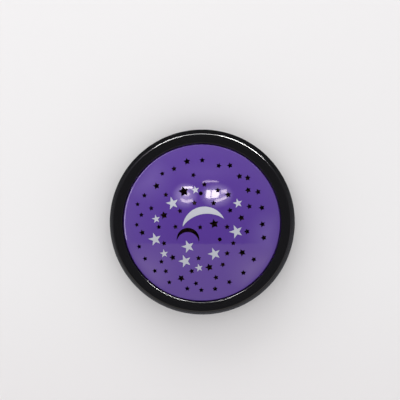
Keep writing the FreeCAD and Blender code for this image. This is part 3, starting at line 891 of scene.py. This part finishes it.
print("the camera stands at", [round(length) for length in camera_place])

# %% [markdown]
# ## Cards
# A card shines, but is seen in glossy plastic alone: it is hidden from the camera, lights
# nothing that is matte, and casts no shadow.


# %%
def emission(name, tint, strength):
    material = bpy.data.materials.new(name)
    material.use_nodes = True
    nodes = material.node_tree.nodes
    nodes.clear()
    output = nodes.new("ShaderNodeOutputMaterial")
    add_node(
        material, "ShaderNodeEmission", {"Color": colour(tint), "Strength": strength},
        (("Emission", output, "Surface"),),
    )
    return material


def only_in_gloss(piece):
    piece.visible_camera = False
    piece.visible_diffuse = False
    piece.visible_shadow = False


def card(name, corners, material, height):
    """A flat card whose mirror image fills the outline of corners on the dome."""
    clear_selection()
    bpy.ops.mesh.primitive_circle_add(vertices=len(corners), radius=1, fill_type="NGON")
    piece = bpy.context.object
    piece.name = name
    for vertex, (x, y) in zip(piece.data.vertices, corners):
        vertex.co = card_corner(x, y, height) * MM
    give(piece, material)
    only_in_gloss(piece)


# %% [markdown]
# The table is seen in the lower half of the dome, up to a straight horizon.

# %%
table_height = 1900.0
horizon_y = -15.2
horizon_half_width = 54
horizon_step = 9
TABLE_EDGE = ((52, -27), (40, -43), (20, -55), (0, -58.5), (-20, -55), (-40, -43), (-52, -27))
table_outline = [
    (x, horizon_y) for x in range(-horizon_half_width, horizon_half_width + 1, horizon_step)
]
table_outline += TABLE_EDGE
card("pale_table", table_outline, emission("pale_table", "f2e6dc", 1.02), table_height)
print("the table has", len(table_outline), "corners")

# %% [markdown]
# ## Windows
# Two windows shine from beyond the camera, and are seen as bright panes and curved sills. A line
# of light runs along the ceiling. Corners are given where they are seen on the dome.

# %%
window_height = 1700.0
window_light = emission("window_light", "fff6ee", 24.0)
window_shaded = emission("window_shaded", "fff0f2", 14.0)
window_dim = emission("window_dim", "ffecf2", 9.0)
WINDOWS = (
    ("left_window_top", window_light, ((-15.0, 25.8), (-6.0, 26.2), (-6.5, 27.6), (-14.6, 27.4))),
    ("left_window_middle", window_shaded, ((-12.6, 20.8), (-8.6, 21.0), (-8.8, 23.2), (-12.4, 23.0))),
    ("left_window_low", window_shaded, (
        (-15.8, 18.8), (-14.2, 16.3), (-10.2, 15.4), (-6.2, 16.6), (-6.6, 18.4), (-10.5, 17.4),
        (-13.4, 18.4),
    )),
    ("right_window", window_light, ((3.4, 19.0), (7.1, 18.6), (7.3, 25.0), (3.8, 24.8))),
    ("right_window_pane", window_light, (
        (7.8, 18.9), (12.0, 19.4), (13.9, 21.6), (13.0, 25.2), (8.0, 25.0),
    )),
    ("right_window_side", window_shaded, ((15.0, 22.4), (19.2, 22.8), (18.8, 25.8), (15.2, 25.4))),
    ("right_window_sill", window_shaded, (
        (10.2, 16.2), (14.0, 16.4), (20.2, 19.8), (19.8, 21.2), (14.6, 18.8), (10.6, 17.8),
    )),
    ("ceiling_line", window_dim, ((0.4, 30.6), (13.2, 30.8), (12.0, 32.2), (2.6, 32.0))),
)
for window_name, window_material, window_corners in WINDOWS:
    card(window_name, window_corners, window_material, window_height)
print(len(WINDOWS), "window cards placed")

# %% [markdown]
# ## Pale walls
# Further cards fade out from their middle to their rim, so that they tint the dome softly. They
# hang one above the other, and let the light of the cards behind them through.


# %%
seen_radius = 58.0
wall_height = 1780.0
wall_step = 10.0
OVAL_SIDES = 32


def glowing(name, tint, strength):
    """Light that fades out from the middle of its card to the rim."""
    material = emission(name, tint, strength)
    nodes = material.node_tree.nodes
    output = nodes["Material Output"]
    light = nodes["Emission"]
    fade = add_node(material, "ShaderNodeMixShader", {}, (("Shader", output, "Surface"),))
    add_node(material, "ShaderNodeBsdfTransparent", {}, (("BSDF", fade, SHADER_FIRST_INPUT),))
    material.node_tree.links.new(light.outputs["Emission"], fade.inputs[SHADER_SECOND_INPUT])
    add_node(
        material, "ShaderNodeAttribute", {"attribute_name": "glow"},
        (("Fac", fade, SHADER_SHARE_INPUT),),
    )
    return material


def soft_card(name, middle, half_size, tint, strength, height):
    """A patch of pale wall, seen on the dome as an oval that fades out to its rim."""
    clear_selection()
    bpy.ops.mesh.primitive_circle_add(vertices=OVAL_SIDES, radius=1, fill_type="TRIFAN")
    piece = bpy.context.object
    piece.name = name
    glow = piece.data.attributes.new("glow", "FLOAT", "POINT")
    for vertex in piece.data.vertices:
        glow.data[vertex.index].value = 1.0 if vertex.co.length < 0.5 else 0.0
        x = middle[0] + vertex.co.x * half_size[0]
        y = middle[1] + vertex.co.y * half_size[1]
        reach = math.hypot(x, y)
        if reach > seen_radius:
            x = x * seen_radius / reach
            y = y * seen_radius / reach
        vertex.co = card_corner(x, y, height) * MM
    give(piece, glowing(name, tint, strength))
    only_in_gloss(piece)


# %% [markdown]
# Each wall has its middle and half its width and height as seen on the dome, then its tint and
# its strength.

# %%
PALE_WALLS = (
    ("upper_left_wall", (-38, 32), (20, 18), "f0e6ff", 1.7),
    ("right_wall", (48, -8), (16, 18), "f4ecff", 1.6),
    ("lower_right_wall", (38, -34), (22, 18), "fff2ea", 1.9),
    ("lower_left_wall", (-38, -34), (22, 18), "fff2ea", 1.7),
    ("upper_wall", (4, 38), (30, 9), "f4e8ff", 0.9),
    ("left_window_glow", (-12, 21), (10, 10), "f8ecff", 7.0),
    ("right_window_glow", (11.5, 21), (13, 9.5), "f8ecff", 7.0),
)
for index, wall in enumerate(PALE_WALLS):
    soft_card(*wall, wall_height + wall_step * index)
print(len(PALE_WALLS), "walls placed")

# %% [markdown]
# ## Lines of light
# A long strip low round the lamp draws a pale line along the dome's edge. It shines on the dome
# alone and hides nothing. Directions are in degrees, clockwise from the top of the pattern.


# %%
rim_start = -105
rim_end = 50
rim_distance = 1450.0
rim_low = 80.0
rim_high = 290.0
rim_strength = 6.5
RIM_STEPS = 48


def shine_only_on(piece, receiver):
    """Keeps the light of a piece off everything but its receiver."""
    group = bpy.data.collections.new(piece.name + "_receivers")
    group.objects.link(receiver)
    piece.light_linking.receiver_collection = group


def see_through_glow(name, tint, strength):
    """A glow that hides nothing behind it."""
    material = emission(name, tint, strength)
    nodes = material.node_tree.nodes
    both = add_node(
        material, "ShaderNodeAddShader", {}, (("Shader", nodes["Material Output"], "Surface"),)
    )
    material.node_tree.links.new(nodes["Emission"].outputs["Emission"], both.inputs[0])
    clear = nodes.new("ShaderNodeBsdfTransparent")
    material.node_tree.links.new(clear.outputs["BSDF"], both.inputs[1])
    return material


def rim_strip():
    clear_selection()
    bpy.ops.mesh.primitive_grid_add(x_subdivisions=RIM_STEPS, y_subdivisions=1, size=2)
    piece = bpy.context.object
    piece.name = "rim_glow"
    for vertex in piece.data.vertices:
        share = (vertex.co.x + 1) / 2
        angle = math.radians(90 - (rim_start + (rim_end - rim_start) * share))
        x = rim_distance * math.cos(angle)
        y = rim_distance * math.sin(angle)
        height = rim_low if vertex.co.y < 0 else rim_high
        vertex.co = Vector((x, y, height)) * MM
    give(piece, see_through_glow("rim_glow", "efe6f8", rim_strength))
    only_in_gloss(piece)
    shine_only_on(piece, dome_moulding)


rim_strip()
print("rim strip placed")

# %% [markdown]
# Three long lamps beyond the top of the pattern are seen as a thin line in the ring's shoulder.
# Each is given by its direction, the angle that it spans, and its power. They shine on the ring
# alone. Their sizes are in metres.


# %%
shoulder_lamp_distance = 1.4
shoulder_lamp_rise = 51.0
shoulder_lamp_height = 0.25


def shoulder_lamp(name, degrees, spread, power):
    clear_selection()
    rise = math.radians(shoulder_lamp_rise)
    level = shoulder_lamp_distance * math.cos(rise)
    turn = math.radians(90 - degrees)
    height = shoulder_lamp_distance * math.sin(rise)
    place = Vector((level * math.cos(turn), level * math.sin(turn), height))
    bpy.ops.object.light_add(type="AREA", location=place)
    lamp_light = bpy.context.object
    lamp_light.name = name
    lamp_light.data.shape = "RECTANGLE"
    lamp_light.data.size = 2 * level * math.tan(math.radians(spread / 2))
    lamp_light.data.size_y = shoulder_lamp_height
    lamp_light.data.energy = power
    lamp_light.rotation_euler = (-place).to_track_quat("-Z", "Y").to_euler()
    lamp_light.visible_camera = False
    lamp_light.visible_diffuse = False
    shine_only_on(lamp_light, ring_moulding)


SHOULDER_LAMPS = (
    ("left_shoulder_lamp", -25.0, 22.0, 30.0),
    ("middle_shoulder_lamp", -2.0, 24.0, 12.0),
    ("right_shoulder_lamp", 26.5, 33.0, 70.0),
)
for shoulder_light in SHOULDER_LAMPS:
    shoulder_lamp(*shoulder_light)
print(len(SHOULDER_LAMPS), "shoulder lamps placed")

# %% [markdown]
# A dark cloth lies round the lamp, and is seen only in the ring's glossy side. It grows darker
# towards the top of the pattern.


# %%
cloth_radius = 0.6
cloth_lift = 0.2
cloth_pale_until = -20.0
cloth_dark_from = 50.0
cloth_darkest = 0.2
CLOTH_SIDES = 64


def black_flag():
    clear_selection()
    bpy.ops.mesh.primitive_circle_add(
        vertices=CLOTH_SIDES, radius=cloth_radius, fill_type="NGON", location=(0, 0, cloth_lift * MM)
    )
    flag = bpy.context.object
    flag.name = "black_flag"
    cloth = emission("black_cloth", "5a5a5e", 1.0)
    fall = add_node(
        cloth, "ShaderNodeMapRange",
        {
            "From Min": cloth_pale_until * MM, "From Max": cloth_dark_from * MM,
            "To Min": 1.0, "To Max": cloth_darkest,
        },
        (("Result", cloth.node_tree.nodes["Emission"], "Strength"),),
    )
    axes = add_node(cloth, "ShaderNodeSeparateXYZ", {}, (("Y", fall, "Value"),))
    add_node(cloth, "ShaderNodeTexCoord", {}, (("Object", axes, "Vector"),))
    give(flag, cloth)
    only_in_gloss(flag)
    flag.visible_transmission = False


black_flag()
print("cloth laid")

# %% [markdown]
# ## Floor and room
# The floor is a pale board with painted light: its colour is a shade paler towards the top of the pattern.


# %%
floor_size = 8.0
floor_dark_until = -150.0
floor_pale_from = -40.0


def make_floor():
    clear_selection()
    bpy.ops.mesh.primitive_plane_add(size=floor_size)
    floor = bpy.context.object
    floor.name = "floor"
    material, shader = new_material("floor_with_painted_light")
    shader.inputs["Roughness"].default_value = 0.9
    shader.inputs["Specular IOR Level"].default_value = 0.1
    # painted light: the floor's colour is blended paler towards the top of the pattern
    blend = colour_blend(material, shader, "dfdddd", "e3e2e2")
    fall = add_node(
        material, "ShaderNodeMapRange",
        {"From Min": floor_dark_until * MM, "From Max": floor_pale_from * MM},
        (("Result", blend, MIX_SHARE_INPUT),),
    )
    axes = add_node(material, "ShaderNodeSeparateXYZ", {}, (("Y", fall, "Value"),))
    add_node(material, "ShaderNodeTexCoord", {}, (("Object", axes, "Vector"),))
    give(floor, material)


make_floor()
print("floor laid")

# %% [markdown]
# Even daylight falls on everything, while gloss mirrors a room that is dimmer high up. Heights
# here are those of a direction, from 0 on the horizon to 1 straight up.


# %%
dim_from = 0.2
dimmest_from = 0.95
low_room_strength = 0.75
high_room_strength = 0.13


def light_the_room():
    world = bpy.data.worlds.new("daylight_room")
    bpy.context.scene.world = world
    world.use_nodes = True
    daylight = world.node_tree.nodes["Background"]
    daylight.inputs["Color"].default_value = colour("fdfcfd")
    daylight.inputs["Strength"].default_value = 1.0
    output = world.node_tree.nodes["World Output"]
    mirrored = add_node(world, "ShaderNodeBackground", {"Color": colour("f4f0fa")})
    chosen = add_node(world, "ShaderNodeMixShader", {}, (("Shader", output, "Surface"),))
    link = world.node_tree.links.new
    link(daylight.outputs["Background"], chosen.inputs[SHADER_FIRST_INPUT])
    link(mirrored.outputs["Background"], chosen.inputs[SHADER_SECOND_INPUT])
    add_node(world, "ShaderNodeLightPath", {}, (("Is Glossy Ray", chosen, SHADER_SHARE_INPUT),))
    fall = add_node(
        world, "ShaderNodeMapRange",
        {
            "From Min": dim_from, "From Max": dimmest_from,
            "To Min": low_room_strength, "To Max": high_room_strength,
        },
        (("Result", mirrored, "Strength"),),
    )
    axes = add_node(world, "ShaderNodeSeparateXYZ", {}, (("Z", fall, "Value"),))
    add_node(world, "ShaderNodeTexCoord", {}, (("Generated", axes, "Vector"),))


light_the_room()
print("room lit")

# %% [markdown]
# A broad soft window light comes from beyond the top of the pattern. Its sizes are in metres.


# %%
key_light_place = (-0.25, 1.0, 0.55)
key_light_width = 1.4
key_light_height = 0.6
key_light_power = 5.0


def key_light():
    clear_selection()
    bpy.ops.object.light_add(type="AREA", location=key_light_place)
    lamp_light = bpy.context.object
    lamp_light.name = "soft_window"
    lamp_light.data.shape = "RECTANGLE"
    lamp_light.data.size = key_light_width
    lamp_light.data.size_y = key_light_height
    lamp_light.data.energy = key_light_power
    lamp_light.rotation_euler = (-lamp_light.location).to_track_quat("-Z", "Y").to_euler()
    lamp_light.visible_glossy = False


key_light()
print("window light placed")

# %% [markdown]
# ## The camera
# It looks at a point a little above the pattern's middle. Its lens is chosen so that the
# picture is exactly as wide, at the ring's face, as it should be.


# %%
sight_limit = 20.0


def place_camera():
    camera_data = bpy.data.cameras.new("camera")
    camera = bpy.data.objects.new("camera", camera_data)
    bpy.context.scene.collection.objects.link(camera)
    bpy.context.scene.camera = camera
    aim = Vector((photo_aim[0], photo_aim[1], face_height))
    sight = (aim - camera_place).normalized()
    camera_data.sensor_width = sensor_width
    camera_data.lens = sensor_width * (camera_distance - face_height) / photo_width_mm
    camera_data.clip_end = sight_limit
    camera.location = camera_place * MM
    right = sight.cross(Vector((0, 1, 0))).normalized()
    upward = right.cross(sight)
    turn = camera.matrix_world.to_3x3()
    turn.col[0] = right
    turn.col[1] = upward
    turn.col[2] = -sight
    camera.rotation_euler = turn.to_euler()


place_camera()
scene = bpy.context.scene
scene.view_settings.view_transform = "Standard"
print("camera lens", round(bpy.data.cameras["camera"].lens), "mm")
